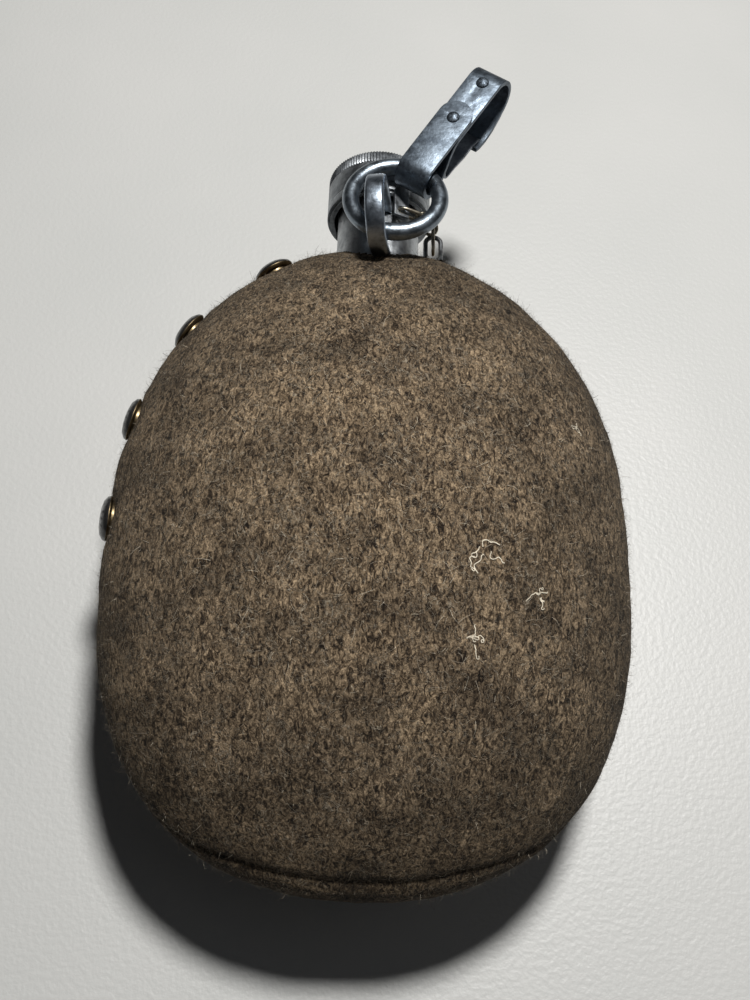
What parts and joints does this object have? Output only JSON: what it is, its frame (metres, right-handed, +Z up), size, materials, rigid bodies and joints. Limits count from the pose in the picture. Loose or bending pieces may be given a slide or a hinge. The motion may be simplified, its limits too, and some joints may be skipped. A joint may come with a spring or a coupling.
{
  "type": "canteen",
  "caption": "Felt-covered aluminium canteen lying on its back, with a screw cap, a strap loop, a ring with a snap hook, and a studded cover opening.",
  "frame": {"origin": "middle of the rest face on the back, at the body's widest place", "axes": "+Z up out of the back's rest face through the front; +Y along the neck towards the cap; +X to the right, seen from the front"},
  "size_m": [0.1437, 0.2433, 0.0744],
  "materials": {
    "felt": "matte",
    "flask": "satin",
    "cap": "dull satin",
    "loop": "polished, worn",
    "steel": "dull",
    "seal": "matte",
    "chain": "dull",
    "ring": "satin",
    "hook": "dark satin",
    "spring": "satin",
    "black_metal": "black japanned",
    "brass": "worn"
  },
  "bodies": {
    "flask": {"flask_shell": "flask", "neck": "flask", "neck_thread": "flask", "strap_loop": "loop", "chain_lug": "steel", "cover_front": "felt", "cover_back": "felt", "cover_underlap": "felt", "snap_studs": "brass", "snap_eyelets": "brass"},
    "collar": {"swivel_collar": "cap", "chain_link_1": "chain", "chain_link_2": "chain", "chain_end_link": "chain"},
    "cap": {"cap_shell": "cap", "cap_thread": "cap", "cap_seal": "seal"},
    "ring": {"ring": "ring"},
    "hook": {"hook_body": "hook", "hook_rivets": "hook", "hook_spring": "spring"},
    "gate": {"hook_gate": "spring"},
    "flap": {"cover_flap": "felt", "snap_caps": "black_metal", "snap_sockets": "brass"}
  },
  "joints": [
    {"name": "cap_lift", "type": "slide", "parent": "flask", "child": "collar", "axis": [0, 1, 0], "range_m": [0, 0.00413]},
    {"name": "cap_turn", "type": "hinge", "parent": "collar", "child": "cap", "pos_m": [0, 0.11, 0.0394], "axis": [0, 1, 0], "range_deg": [0, 495]},
    {"name": "ring_swing", "type": "hinge", "parent": "flask", "child": "ring", "pos_m": [-0.00062, 0.08737, 0.0612], "axis": [0.9233, -0.3801, 0.0548], "range_deg": [0, 90]},
    {"name": "hook_swing", "type": "hinge", "parent": "ring", "child": "hook", "pos_m": [0.01169, 0.11009, 0.06028], "axis": [0.8225, -0.5654, 0.0623], "range_deg": [0, 35]},
    {"name": "gate_flex", "type": "hinge", "parent": "hook", "child": "gate", "pos_m": [0.01706, 0.1176, 0.05577], "axis": [0.8251, -0.5632, 0.0452], "range_deg": [0, 16], "stiffness_Nm_per_rad": 0.05},
    {"name": "flap_open", "type": "hinge", "parent": "flask", "child": "flap", "pos_m": [-0.071, -0.014, 0.0635], "axis": [0.4403, 0.8979, 0], "range_deg": [0, 35]}
  ],
  "couplings": [
    {"joint": "cap_lift", "follows": "cap_turn", "m_per_rad": 0.00047746}
  ]
}
